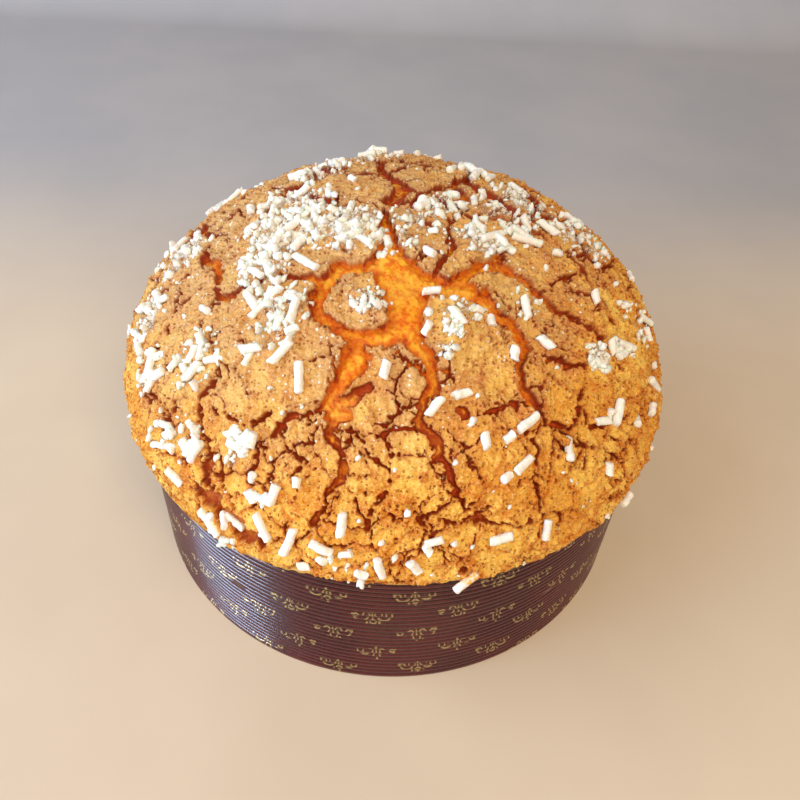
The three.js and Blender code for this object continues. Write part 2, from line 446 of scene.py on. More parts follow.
class Loaf:
    """The dome's grid of points, with the glaze, its cracks and the crumb that shows in them."""

    def __init__(self):
        steps = np.linspace(-1, 1, GRID)
        across, along = (part.ravel() for part in np.meshgrid(steps, steps, indexing="ij"))
        distance, bearing = grid_to_disc(across, along)
        polar = np.minimum(distance / DOME_SHARE, 1) * math.pi / 2
        self.plain = dome_points(bearing, polar)
        self.normals = dome_normals(bearing, polar)
        self.fold_lip(distance, bearing)
        self.open_gaps(bearing)
        self.open_pores()
        self.powder = powder_field(self.plain) * (0.25 + 0.75 * self.glaze)
        fade = 1 - smooth_step(distance, DOME_SHARE, 1)
        self.points = self.plain + self.normals * (self.relief() * fade)[:, None]

    def fold_lip(self, distance, bearing):
        """Brings the outermost rings down and in, to lap over the mould's rim."""
        lip = np.clip((distance - DOME_SHARE) / (1 - DOME_SHARE), 0, 1)
        around = np.stack([np.sin(bearing), -np.cos(bearing), np.zeros_like(bearing)], axis=1)
        bearings, drops = np.array(LIP_DROP, dtype=float).T
        degrees = np.mod(np.degrees(bearing) + 180, 360) - 180
        drop = np.interp(degrees, bearings, drops) + layered(around * WIDEST_RADIUS, LIP_WAVES)
        inset = WIDEST_RADIUS - MOULD_RADIUS - LIP_THICKNESS
        self.plain[:, :2] -= around[:, :2] * (inset * lip ** 1.6)[:, None]
        self.plain[:, 2] -= drop * lip
        on_lip = lip > 0
        tuck = lip * math.radians(LIP_TUCK)
        self.normals[on_lip] = (around * np.cos(tuck)[:, None])[on_lip]
        self.normals[on_lip, 2] = -np.sin(tuck)[on_lip]

    def open_gaps(self, bearing):
        """Parts the glaze along the listed cracks, and along random ones behind."""
        plain = self.plain
        self.warped = plain + layered(plain, WARP, noise_vector)
        behind = smooth_step(-np.cos(bearing), -0.25, 0.3)
        patchy = noise(plain, 11, 51)
        plates, _, plate = random_cells(self.warped, PLATE_SIZE, 31)
        pieces, _, piece = random_cells(self.warped, PIECE_SIZE, 41)
        outside, breadth = crack_distance(self.warped)
        outside += 0.5 * noise(plain, 3, 54)
        breadth = np.where(outside < 3, breadth, 0.9 * behind)
        outside = np.minimum(outside, plates - (1.7 * behind - 0.5 + 0.9 * patchy))
        outside = np.minimum(outside, pieces - (0.3 * behind - 0.2 + 0.75 * patchy))
        self.outside = outside + 0.4 * noise(plain, 0.9, 53)
        self.from_edge = np.clip(self.outside, 0, 9)
        self.tilt = 0.8 * (plate - 0.5) + 0.6 * (piece - 0.5)
        self.glaze = smooth_step(self.outside, -0.15, 0.4)
        self.rim = np.exp(-np.clip(self.outside, 0, 20) / BAKED_REACH)
        self.gap_depth = np.clip(-self.outside, 0, 8)
        self.wide = smooth_step(breadth, 1.2, 2.6)
        # Painted light: pale is how much the glaze faces up and to the left, towards the window lamp, and
        # those sides are painted paler. The same mask also thins the pores and adds sugar specks there.
        upward = 0.85 * self.normals[:, 2] - 0.25 * self.normals[:, 0]
        self.pale = smooth_step(upward + 0.12 * patchy, 0.45, 0.95)

    def open_pores(self):
        """Opens round pores in the glaze, most of them near its edges."""
        plain = self.plain
        _, hole, own = random_cells(plain + 0.5 * noise_vector(plain, 1.1, 57), PORE_SIZE, 55)
        crowded = 0.35 * noise(plain, 15, 56) + 0.4 * np.exp(-self.from_edge / 2.5)
        radius = 0.75 * (own - 1) + 0.34 + 0.8 * crowded - 0.2 * self.pale
        self.pore = smooth_step(radius - hole, 0, 0.35) * self.glaze

    def relief(self):
        """How far the surface stands above the plain dome."""
        plain = self.plain
        lumps = 1.3 * np.abs(noise(plain, 4.2, 63)) + 1.1 * np.abs(noise(plain, 1.9, 64)) - 0.8
        curl = CURL_HEIGHT * np.exp(-self.from_edge / CURL_REACH)
        heaped = 2.1 * self.powder ** 2 * (0.6 + 0.8 * noise(plain, 1.9, 67))
        glaze = GLAZE_THICKNESS + self.tilt + curl + lumps + heaped
        crumb = 1.1 * smooth_step(self.gap_depth, 0.5, 4) + 0.35 * noise(self.warped, 2.6, 66)
        above = self.glaze * glaze + (1 - self.glaze) * crumb - PORE_DEPTH * self.pore
        return above + layered(plain, SWELL) + 0.28 * noise(plain, 0.9, 65) - GLAZE_THICKNESS

    def index(self, points):
        """The grid's vertex nearest each point."""
        bearing, polar = dome_angles(points)
        distance = np.minimum(polar / (math.pi / 2) * DOME_SHARE, 1)
        across, along = disc_to_grid(distance, bearing)
        row = np.rint((across + 1) / 2 * (GRID - 1)).astype(int)
        column = np.rint((along + 1) / 2 * (GRID - 1)).astype(int)
        return row * GRID + column


# ---- mesh helpers

def make_mesh(name, points, loops, sizes, layout=None):
    """A smooth mesh object from points in mm, corner indices, corners per face and a flat layout."""
    mesh = bpy.data.meshes.new(name)
    mesh.vertices.add(len(points))
    mesh.vertices.foreach_set("co", np.ravel(points * MM))
    mesh.loops.add(len(loops))
    mesh.loops.foreach_set("vertex_index", loops)
    mesh.polygons.add(len(sizes))
    mesh.polygons.foreach_set("loop_start", np.concatenate([[0], np.cumsum(sizes)[:-1]]))
    mesh.polygons.foreach_set("use_smooth", np.ones(len(sizes), dtype=bool))
    if layout is not None:
        layer = mesh.uv_layers.new(name="OFBake")
        layer.data.foreach_set("uv", np.ravel(layout))
    mesh.update(calc_edges=True)
    piece = bpy.data.objects.new(name, mesh)
    bpy.context.collection.objects.link(piece)
    return piece


def add_attribute(piece, name, values):
    attribute = piece.data.attributes.new(name, "FLOAT", "POINT")
    attribute.data.foreach_set("value", values.astype(np.float32))


def index_grid(rows, columns):
    return np.meshgrid(np.arange(rows), np.arange(columns), indexing="ij")


def ring_quads(rows, columns):
    """Quads between rows of points, each row closed on itself."""
    row, column = index_grid(rows - 1, columns)
    beside = (column + 1) % columns
    return np.stack([
        row * columns + column,
        row * columns + beside,
        (row + 1) * columns + beside,
        (row + 1) * columns + column,
    ], axis=-1).reshape(-1, 4)


def ring_places(rows, columns):
    """The corners of the ring quads as shares of the way round and along the rows."""
    row, column = index_grid(rows - 1, columns)
    corners = [(column, row), (column + 1, row), (column + 1, row + 1), (column, row + 1)]
    places = [np.stack([across / columns, along / (rows - 1)], axis=-1) for across, along in corners]
    return np.stack(places, axis=-2).reshape(-1, 4, 2)


def finish_piece(piece, slot, material, *nodes):
    piece.data.materials.append(material)
    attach(piece, "root")
    if nodes:
        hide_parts(*nodes)
    return piece


# ---- loaf

def border_indices():
    """The grid's outer vertices in order of bearing."""
    low = np.arange(GRID - 1)
    last = GRID - 1
    sides = [
        (np.full(last, last), low),
        (last - low, np.full(last, last)),
        (np.zeros(last, dtype=int), last - low),
        (low, np.zeros(last, dtype=int)),
    ]
    return np.concatenate([row * GRID + column for row, column in sides])


def hidden_rings(edge):
    """Rings from the lip's edge over the rim and down inside the mould."""
    around = edge[:, :2] / np.linalg.norm(edge[:, :2], axis=1, keepdims=True)
    inner = MOULD_RADIUS - WALL_THICKNESS - CLEARANCE
    over_rim = MOULD_HEIGHT + RIM_CLEARANCE
    outline = [
        (MOULD_RADIUS + CLEARANCE, over_rim),
        (inner, over_rim),
        (inner, MOULD_HEIGHT - 4),
        (inner, MOULD_HEIGHT / 2),
        (inner, HIDDEN_BOTTOM + 1),
        (inner - 1, HIDDEN_BOTTOM),
        (inner / 2, HIDDEN_BOTTOM),
    ]
    return np.concatenate([
        np.column_stack([around * radius, np.full(len(edge), height)])
        for radius, height in outline
    ]), len(outline)


def loaf_layout(dome_quads, ring_count, border_count):
    """Lays the dome flat in a square, with the hidden rings and the cap in strips beside it."""
    dome = np.stack([dome_quads // GRID, dome_quads % GRID], axis=-1) / (GRID - 1)
    skirt = ring_places(ring_count + 1, border_count)[:, ::-1]
    turn = np.arange(border_count)
    cap = np.stack([
        np.stack([turn + 0.5, turn + 1, turn], axis=1) / border_count,
        np.broadcast_to([1.0, 0.0, 0.0], (border_count, 3)),
    ], axis=-1)
    return np.concatenate([
        (dome * 0.9 + 0.01).reshape(-1, 2),
        (skirt * [-0.98, 0.05] + [0.99, 0.925]).reshape(-1, 2),
        (cap * [-0.98, 0.01] + [0.99, 0.985]).reshape(-1, 2),
    ])


def build_loaf(loaf):
    row, column = index_grid(GRID - 1, GRID - 1)
    first = row * GRID + column
    dome_quads = np.stack([first, first + GRID, first + GRID + 1, first + 1], axis=-1).reshape(-1, 4)
    border = border_indices()
    rings, ring_count = hidden_rings(loaf.points[border])
    start = GRID * GRID
    numbers = np.concatenate([border, start + np.arange(len(rings))])
    skirt_quads = numbers[ring_quads(ring_count + 1, len(border))]
    centre = start + len(rings)
    last_ring = centre - len(border) + np.arange(len(border))
    cap = np.stack([last_ring, np.roll(last_ring, -1), np.full(len(border), centre)], axis=1)
    points = np.concatenate([loaf.points, rings, [[0, 0, HIDDEN_BOTTOM]]])
    quads = np.concatenate([dome_quads, skirt_quads[:, ::-1]])
    loops = np.concatenate([quads.ravel(), cap[:, ::-1].ravel()])
    sizes = np.concatenate([np.full(len(quads), 4), np.full(len(cap), 3)])
    layout = loaf_layout(dome_quads, ring_count, len(border))
    piece = make_mesh("baked_loaf", points, loops, sizes, layout)
    for name in LOAF_FIELDS:    # the hidden rings count as glaze
        hidden = np.full(len(rings) + 1, float(name == "glaze"))
        add_attribute(piece, name, np.concatenate([getattr(loaf, name), hidden]))
    return finish_piece(piece, "baked_glaze", glaze_material(), "loaf")


# ---- sugar

def rod_template(sides=12, rings=11, end_reach=0.7, end_length=0.04):
    """A rod along Z, one long and one in radius, with softly broken ends."""
    heights = np.pad(np.linspace(-0.5, 0.5, rings), 1, mode="edge")
    heights[[1, -2]] += [end_length, -end_length]
    reach = np.pad(np.ones(rings), 1, constant_values=end_reach)
    row, side = index_grid(len(heights), sides)
    turn = side * 2 * math.pi / sides
    points = np.stack([reach[row] * np.cos(turn), reach[row] * np.sin(turn), heights[row]], axis=-1)
    ends = [np.arange(sides)[::-1], (len(heights) - 1) * sides + np.arange(sides)]
    return points.reshape(-1, 3), [*ring_quads(len(heights), sides), *ends]


def chip_template(rings=5, sides=8):
    """A low ball of points for a broken chip."""
    row, side = index_grid(rings, sides)
    tilt = (row + 1) * math.pi / (rings + 1)
    turn = (side + 0.5 * (row + 1)) * 2 * math.pi / sides
    points = np.stack([np.sin(tilt) * np.cos(turn), np.sin(tilt) * np.sin(turn), -np.cos(tilt)], axis=-1)
    bottom = rings * sides
    top_ring = bottom - sides
    first = np.arange(sides)
    beside = np.roll(first, -1)
    caps = [[bottom, after, before] for before, after in zip(first, beside)]
    caps += [[top_ring + before, top_ring + after, bottom + 1] for before, after in zip(first, beside)]
    points = np.concatenate([points.reshape(-1, 3), [[0, 0, -1], [0, 0, 1]]])
    return points, [*ring_quads(rings, sides), *caps]


def turned_to(axis, up):
    """A rotation whose Z runs along axis and whose X is as near up as it can be."""
    along = axis / np.linalg.norm(axis)
    side = up - along * (up @ along)
    side /= np.linalg.norm(side)
    return np.stack([side, np.cross(along, side), along], axis=1)


class Sugar:
    """Gathers rods and chips, each laid on the loaf's finished surface."""

    def __init__(self, loaf):
        self.loaf = loaf
        self.rod_points, self.rod_faces = rod_template()
        self.chip_points, self.chip_faces = chip_template()
        self.empty()

    def empty(self):
        self.points = []
        self.toast = []
        self.loops = []
        self.sizes = []
        self.count = 0

    def surface(self, point, lift):
        index = self.loaf.index(point)
        return self.loaf.points[index] + self.loaf.normals[index] * lift

    def add(self, points, faces, toast):
        self.points.append(points)
        self.toast.append(toast)
        self.loops.extend(self.count + number for face in faces for number in face)
        self.sizes.extend(len(face) for face in faces)
        self.count += len(points)

    def rod(self, centre, axis, length, radius, seed, bury=0.25, toasted=False):
        """Rests a rod on the surface under its two ends. The toasted one hangs free."""
        lift = radius * (1 - bury)
        ends = [centre + axis * side * 0.4 * length for side in (-1, 1)]
        if not toasted:
            ends = [self.surface(end, lift) for end in ends]
        line = ends[1] - ends[0]
        middle = (ends[0] + ends[1]) / 2
        normal = self.loaf.normals[self.loaf.index(centre)]
        shape = self.rod_points * [radius, radius, length]
        place = shape + seed * 7.3
        rough = 0.2 * noise(place, 1.9, 81) + 0.12 * noise(place, 0.8, 82)
        to_end = smooth_step(np.abs(self.rod_points[:, 2]), 0.15, 0.46)
        slant = 0.8 * random_at(np.array([[seed, 1, 0], [seed, 2, 0]]), 84) - 0.4
        shape[:, 2] += to_end * (shape[:, :2] @ slant + 0.3 * noise(place, 1.3, 83))
        shape[:, :2] *= 1 + rough[:, None]
        bend = (random_at(np.array([[seed, 3, 0]]), 84)[0] - 0.5) * 0.02
        shape[:, 1] += bend * (shape[:, 2] ** 2 - length ** 2 / 8)
        toast = 0.3 * smooth_step(-self.rod_points[:, 0], 0.3, 1)
        if toasted:
            toast = smooth_step(-self.rod_points[:, 2] + 0.1 * noise(place, 1.5, 86), -0.15, 0.15)
        self.add(shape @ turned_to(line, normal).T + middle, self.rod_faces, toast)

    def lay(self, bearing, polar, heading, length, radius, seed):
        """Lays a rod at a bearing and polar angle; a heading of 0 points downhill. In degrees."""
        bearing, polar, heading = np.radians([bearing, polar, heading])
        nearby = 0.001
        place = dome_points(bearing, polar)
        downhill = dome_points(bearing, polar + nearby) - place
        along = dome_points(bearing + nearby, polar) - place
        axis = math.cos(heading) * downhill / np.linalg.norm(downhill)
        axis = axis + math.sin(heading) * along / np.linalg.norm(along)
        self.rod(place, axis, length, radius, seed, 0.3)

    def chip(self, centre, size, seed, stretch, spin, bury=0.3):
        normal = self.loaf.normals[self.loaf.index(centre)]
        shape = self.chip_points * [size, size * 0.75, size * stretch]
        place = shape + seed * 5.1
        rough = 0.6 * noise(place, size * 0.9, 85) + 0.35 * noise(place, size * 0.4, 87)
        shape = shape * (1 + rough)[:, None]
        tilt = turned_to(normal + spin, np.array([0.3, 0.8, 0.5]))
        middle = self.surface(centre, size * (1 - bury) * 0.7)
        self.add(shape @ tilt.T + middle, self.chip_faces, np.zeros(len(shape)))

    def make(self, name, *nodes):
        points = np.concatenate(self.points)
        piece = make_mesh(name, points, np.array(self.loops), np.array(self.sizes))
        add_attribute(piece, "toast", np.concatenate(self.toast))
        self.empty()
        return finish_piece(piece, "pearl_sugar", SUGAR_MATERIAL, *nodes)


def build_sticks(sugar):
    """Each CAD stick, rebuilt in its own place as a rough extruded rod."""
    for number, node in enumerate(STICK_NODES):
        points = node_points(node)
        centre = (points.min(axis=0) + points.max(axis=0)) / 2
        axis, _, across = np.linalg.svd(points - points.mean(axis=0))[2]
        length = np.ptp(points @ axis)
        radius = ROD_SHARE * np.abs((points - centre) @ across).max()
        axis *= -np.sign(axis[2])
        sugar.rod(centre, axis, length, radius, number, toasted=node == TOASTED_STICK)
        sugar.make(node.replace("stick", "rod"), node)


def scatter_patches(sugar, random):
    """Sticks and chips heaped in the patches."""
    for bearing, polar, radius, sticks, chips, _ in SUGAR_PATCHES:
        centre, normal = dome_spot(bearing, polar)
        side = np.cross(normal, [0.0, 0.0, 1.0])
        side /= np.linalg.norm(side)
        other = np.cross(normal, side)
        for number in range(sticks + chips):
            spread = radius * math.sqrt(random.random())
            turn = random.random() * 2 * math.pi
            place = centre + spread * (math.cos(turn) * side + math.sin(turn) * other)
            heading = random.random() * math.pi
            if number < sticks:
                axis = math.cos(heading) * side + math.sin(heading) * other
                length = random.uniform(3.5, 9)
                sugar.rod(place, axis, length, random.uniform(1.2, 1.6), number, random.uniform(0, 0.6))
            else:
                size = 0.45 + 1.2 * random.random() ** 1.7
                spin = random.normal(size=3) * 0.8
                sugar.chip(place, size, number, random.uniform(0.7, 1.5), spin)
    sugar.make("sugar_patches")


def place_pieces(sugar, random):
    """Broken sticks and lumps that lie apart."""
    for number, (bearing, polar, heading, length) in enumerate(SHORT_STICKS):
        sugar.lay(bearing, polar, heading, length, SHORT_STICK_RADIUS, number)
    for number, (bearing, polar, size) in enumerate(LUMPS):
        place, _ = dome_spot(bearing, polar)
        sugar.chip(place, size, number, random.uniform(0.8, 1.3), random.normal(size=3) * 0.5)
    sugar.make("sugar_pieces")


def scatter_loose(sugar, random):
    """Single chips, and now and then a stick, over the whole dome."""
    for number in range(LOOSE_CHIPS):
        polar = math.acos(random.uniform(0.0, 0.98))
        bearing = random.uniform(-math.pi, math.pi)
        place = dome_points(bearing, polar)
        if number % 9 == 0:
            axis = np.cross(dome_normals(bearing, polar), random.normal(size=3))
            axis /= np.linalg.norm(axis)
            sugar.rod(place, axis, random.uniform(3, 6), random.uniform(1.2, 1.6), number)
        else:
            size = 0.35 + 0.8 * random.random() ** 2
            sugar.chip(place, size, number, random.uniform(0.7, 1.3), random.normal(size=3))
    sugar.make("sugar_chips")


# ---- mould

def mould_outline():
    """Radius and height down the ribbed outside, under the fold and up the plain inside."""
    height = np.linspace(RIB_TOP, RIB_TOP - RIBBED_HEIGHT, RIBS * RIB_ROWS + 1)
    wave = np.abs(np.cos((height - RIB_TOP) * math.pi / RIB_STEP))
    outside = np.stack([MOULD_RADIUS - RIB_DEPTH * (1 - wave), height], axis=1)
    inner = MOULD_RADIUS - WALL_THICKNESS
    fold_end = MOULD_RADIUS - FOLD_WIDTH
    foot = [(MOULD_RADIUS - 0.1, 0.6), (MOULD_RADIUS - 0.5, 0.15), (MOULD_RADIUS - 1.2, 0)]
    fold = [(fold_end + 6, 0), (fold_end + 3, 0), (fold_end, 0), (fold_end, FOLD_THICKNESS),
            (fold_end + 5, FOLD_THICKNESS), (inner - 0.2, FOLD_THICKNESS)]
    inside = [(inner, 1.2), (inner, MOULD_HEIGHT / 2), (inner, MOULD_HEIGHT - 0.2)]
    brim = [(inner + 0.2, MOULD_HEIGHT), (MOULD_RADIUS - 0.3, MOULD_HEIGHT)]
    return np.concatenate([outside, foot, fold, inside, brim])


def mould_layout(rows, ribbed_rows):
    """Lays the wall flat in strips, with most of each strip for the ribbed outside."""
    places = ring_places(rows + 1, MOULD_COLUMNS)[:, ::-1]
    across = places[..., 0] * LAYOUT_STRIPS
    strip = np.floor(across.min(axis=1, keepdims=True))
    known = [0, ribbed_rows / rows, 1]
    along = np.interp(places[..., 1], known, [0, OUTSIDE_SHARE, 1])
    up = (strip + 0.01 + 0.96 * along) / LAYOUT_STRIPS
    return np.stack([0.99 - 0.98 * (across - strip), up], axis=-1).reshape(-1, 2)


def build_mould():
    outline = mould_outline()
    rows = len(outline)
    row, column = index_grid(rows, MOULD_COLUMNS)
    bearing = column * 2 * math.pi / MOULD_COLUMNS
    radius, height = outline[row, 0], outline[row, 1]
    outside = row <= RIBS * RIB_ROWS
    around = np.stack([np.sin(bearing) * 60, -np.cos(bearing) * 60, height], axis=-1).reshape(-1, 3)
    waves = layered(around, MOULD_WAVES).reshape(radius.shape)
    radius = radius + outside * (waves - 0.2)
    seam = np.degrees(bearing) - SEAM_BEARING
    half = math.degrees(SEAM_WIDTH / MOULD_RADIUS) / 2
    radius += outside * SEAM_HEIGHT * smooth_step(-np.abs(seam), -half - 0.4, -half)
    for hole_bearing, hole_height in SKEWER_HOLES:
        away = (np.degrees(bearing) - hole_bearing + 180) % 360 - 180
        sideways = np.radians(away) * MOULD_RADIUS / HOLE_SIZE[0]
        upward = (height - hole_height) / HOLE_SIZE[1]
        radius -= outside * HOLE_DEPTH * np.exp(-sideways ** 2 - upward ** 2)
    points = np.stack([radius * np.sin(bearing), -radius * np.cos(bearing), height], axis=-1)
    closed = np.concatenate([np.arange(rows * MOULD_COLUMNS), np.arange(MOULD_COLUMNS)])
    quads = closed[ring_quads(rows + 1, MOULD_COLUMNS)][:, ::-1]
    layout = mould_layout(rows, RIBS * RIB_ROWS)
    piece = make_mesh("paper_mould", points.reshape(-1, 3), quads.ravel(), np.full(len(quads), 4), layout)
    finish_piece(piece, "mould_paper", mould_material(), "mould_wall")


def paint_disc():
    """The disc keeps the CAD's own mesh."""
    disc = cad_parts["mould_disc"]
    disc.data.materials.clear()
    disc.data.materials.append(disc_material())


# ---- materials

class Field:
    """A number that varies over a surface. Arithmetic on it adds Math nodes."""

    def __init__(self, tree, socket):
        self.tree = tree
        self.socket = socket

    def math(self, operation, *others):
        node = self.tree.nodes.new("ShaderNodeMath")
        node.operation = operation
        for index, value in enumerate((self, *others)):
            feed(self.tree, value, node.inputs[index])
        return Field(self.tree, node.outputs[0])

    def __add__(self, other):
        return self.math("ADD", other)

    def __sub__(self, other):
        return self.math("SUBTRACT", other)

    def __mul__(self, other):
        return self.math("MULTIPLY", other)

    def __truediv__(self, other):
        return self.math("DIVIDE", other)

    def most(self, other):
        return self.math("MAXIMUM", other)

    def size(self):
        return self.math("ABSOLUTE")

    def ramp(self, low, high, start=0.0, end=1.0):
        node = self.tree.nodes.new("ShaderNodeMapRange")
        node.interpolation_type = "SMOOTHSTEP"
        for name, value in (("Value", self), ("From Min", low), ("From Max", high),
                            ("To Min", start), ("To Max", end)):
            feed(self.tree, value, node.inputs[name])
        return Field(self.tree, node.outputs[0])


def feed(tree, value, socket):
    """Links a field or a socket to a socket, or sets a value on it: a number or a screen colour."""
    if isinstance(value, Field):
        tree.links.new(value.socket, socket)
    elif isinstance(value, bpy.types.NodeSocket):
        tree.links.new(value, socket)
    elif isinstance(value, tuple):
        socket.default_value = (*linear_light(value), 1.0)
    else:
        socket.default_value = value


def linear_light(screen_colour):
    """The light of a colour whose parts go from 0 to 255 on a screen."""
    shares = [part / 255 for part in screen_colour]
    return [share / 12.92 if share <= 0.04045 else ((share + 0.055) / 1.055) ** 2.4 for share in shares]


class Paint:
    """Builds one material's nodes. Lengths given to it are millimetres."""

    def __init__(self, name):
        self.material = bpy.data.materials.new(name)
        self.material.use_nodes = True
        self.tree = self.material.node_tree
        self.shader = self.tree.nodes["Principled BSDF"]
        self.place = self.tree.nodes.new("ShaderNodeTexCoord").outputs["Object"]

    def set(self, **values):
        for name, value in values.items():
            feed(self.tree, value, self.shader.inputs[name.replace("_", " ")])

    def attribute(self, name):
        node = self.tree.nodes.new("ShaderNodeAttribute")
        node.attribute_name = name
        return Field(self.tree, node.outputs["Fac"])

    def noise(self, size, detail=3.0, roughness=0.55):
        node = self.tree.nodes.new("ShaderNodeTexNoise")
        feed(self.tree, self.place, node.inputs["Vector"])
        feed(self.tree, 1 / (size * MM), node.inputs["Scale"])
        feed(self.tree, detail, node.inputs["Detail"])
        feed(self.tree, roughness, node.inputs["Roughness"])
        return Field(self.tree, node.outputs[0])

    def cells(self, size):
        """Distance in cell sizes from random points, and a random number for each cell."""
        node = self.tree.nodes.new("ShaderNodeTexVoronoi")
        feed(self.tree, self.place, node.inputs["Vector"])
        feed(self.tree, 1 / (size * MM), node.inputs["Scale"])
        parts = self.tree.nodes.new("ShaderNodeSeparateColor")
        self.tree.links.new(node.outputs["Color"], parts.inputs[0])
        return Field(self.tree, node.outputs["Distance"]), Field(self.tree, parts.outputs[0])

    def layers(self, base, *layers):
        """Lays colours over a base. Each layer is (how much of it covers, colour)."""
        for amount, over in layers:
            node = self.tree.nodes.new("ShaderNodeMix")
            node.data_type = "RGBA"
            for index, value in ((0, amount), (6, base), (7, over)):
                feed(self.tree, value, node.inputs[index])
            base = node.outputs[2]
        return base

    def bump(self, height):
        """Height is in millimetres."""
        node = self.tree.nodes.new("ShaderNodeBump")
        node.inputs["Strength"].default_value = 1.0
        feed(self.tree, MM, node.inputs["Distance"])
        feed(self.tree, height, node.inputs["Height"])
        self.tree.links.new(node.outputs[0], self.shader.inputs["Normal"])

    def coordinates(self):
        node = self.tree.nodes.new("ShaderNodeSeparateXYZ")
        self.tree.links.new(self.place, node.inputs[0])
        return [Field(self.tree, output) * (1 / MM) for output in node.outputs]


def baked_tan(paint, pale, rim, mottled, grain, broad):
    """The glaze's colour: golden and darker near the gaps, with painted light that makes it paler on top
    and on the left, the sides that face the window lamp.
    """
    return paint.layers(
        (230, 160, 52),
        (broad.ramp(0.35, 0.65), (250, 202, 92)),
        (mottled.ramp(0.46, 0.68) * 0.9, (212, 134, 40)),
        ((rim + mottled - 0.5).ramp(0.3, 0.9) * 0.75, (204, 106, 14)),
        # painted light: paler where the glaze faces up and to the left
        (pale * 0.75, (208, 166, 116)),
        (grain.ramp(0.5, 0.7) * 0.6, (254, 222, 156)),
        (grain.ramp(0.48, 0.32) * 0.6, (176, 94, 26)),
    )


def moist_crumb(paint, depth, wide, edge_shade, strands, broad):
    """The crumb's colour: painted shade darkens it towards the glaze's edges, so it is bright in the
    middle of wide gaps and dark in narrow ones; it is also darker low down.
    """
    _, _, up = paint.coordinates()
    return paint.layers(
        (226, 104, 0),
        (strands.ramp(0.38, 0.62), (255, 180, 36)),
        (broad.ramp(0.42, 0.6) * strands * 0.7, (244, 190, 78)),
        # painted shade: the crumb darkens towards the glaze's edges, under their overhang
        (depth.ramp(3.4, 0.4) * wide * 0.75, (206, 88, 2)),
        (depth.ramp(1.7, 0.4) * edge_shade, (168, 56, 2)),
        (up.ramp(WIDEST_HEIGHT + 30, WIDEST_HEIGHT + 12) * 0.75, (160, 62, 4)),
    )


def sugar_dust(paint, powder, glaze, pale, grain, mottled):
    """How much white powder and how many specks cover each spot."""
    speckle = grain * 1.6 + mottled * 0.6 - 1.1
    dust = (powder * 0.8 + speckle).ramp(0.3, 0.55) * powder.ramp(0.02, 0.3)
    specks, speck_random = paint.cells(1.8)
    speck_size = speck_random.ramp(0.35, 1.0, 0.0, 0.4) * (powder * 0.9 + pale * 0.6 + 0.3)
    return dust.most((speck_size - specks).ramp(-0.01, 0.03) * glaze.ramp(0.6, 1.0))


def glaze_material():
    paint = Paint("cracked_glaze")
    glaze, depth, powder, pore, pale, wide, rim = (paint.attribute(name) for name in LOAF_FIELDS)
    broad = paint.noise(22)
    mottled = paint.noise(4.5, 5, 0.65)
    grain = paint.noise(0.7, 4, 0.7)
    strands = paint.noise(2.6, 5, 0.65)

    fine, fine_random = paint.cells(1.4)
    fine_pores = (fine_random.ramp(0.15, 1.0, 0.0, 0.42) - fine).ramp(-0.02, 0.08)
    fine_pores = fine_pores * mottled.ramp(0.3, 0.5) * glaze.ramp(0.7, 1.0)
    pores = pore.ramp(0.15, 0.6).most(fine_pores * 0.8)
    tan = baked_tan(paint, pale, rim, mottled, grain, broad)
    surface = paint.layers(tan, (pores * 0.85, (158, 62, 10)))

    # Shade is painted along all of each narrow gap, and in blotches along the edges of wide ones.
    narrow = (wide * -1.0) + 1.0
    edge_shade = narrow.most(paint.noise(4, 3, 0.6).ramp(0.5, 0.6))
    # Painted shadow: a thin dark red-brown line where the glaze's edge meets the crumb, under its
    # overhang.
    edge = glaze.ramp(0.05, 0.35) * glaze.ramp(0.95, 0.6) * edge_shade.ramp(0.0, 1.0, 0.25, 0.85)
    dust = sugar_dust(paint, powder, glaze, pale, grain, mottled)
    body = paint.layers(
        moist_crumb(paint, depth, wide, edge_shade, strands, broad),
        (glaze.ramp(0.3, 0.7), surface),
        (edge, (138, 44, 4)),
        (dust * 0.9, (244, 236, 220)),
    )
    paint.set(Base_Color=body, Roughness=glaze.ramp(0.2, 0.8, 0.36, 0.82).most(dust * 0.9))
    paint.set(Specular_IOR_Level=0.25, Subsurface_Weight=0.1, Subsurface_Scale=1.5 * MM)
    paint.bump(pores * -0.4 + grain * 0.5 + mottled * 0.25 + strands * 0.15 + dust * 0.15)
    return paint.material


def sugar_material():
    paint = Paint("pressed_sugar")
    toast = paint.attribute("toast")
    grain = paint.noise(0.5, 3, 0.7)
    lump = paint.noise(1.4, 3, 0.6)
    tone = paint.layers(
        (238, 232, 216),
        (grain.ramp(0.3, 0.7), (254, 252, 245)),
        (toast * lump.ramp(0.25, 0.6), (234, 168, 62)),
    )
    paint.set(Base_Color=tone, Roughness=lump.ramp(0.3, 0.7, 0.5, 0.75))
    paint.set(Subsurface_Weight=0.3, Subsurface_Scale=1.5 * MM)
    paint.bump(grain * 0.25 + lump * 0.5)
    return paint.material


def stroke(distance, width):
    """Ink where a distance in mm is less than half the line's width."""
    return distance.ramp(width / 2 + 0.18, width / 2 - 0.12)


def circle(across, up, x, y, radius):
    return ((across - x).math("POWER", 2.0) + (up - y).math("POWER", 2.0)).math("SQRT") - radius


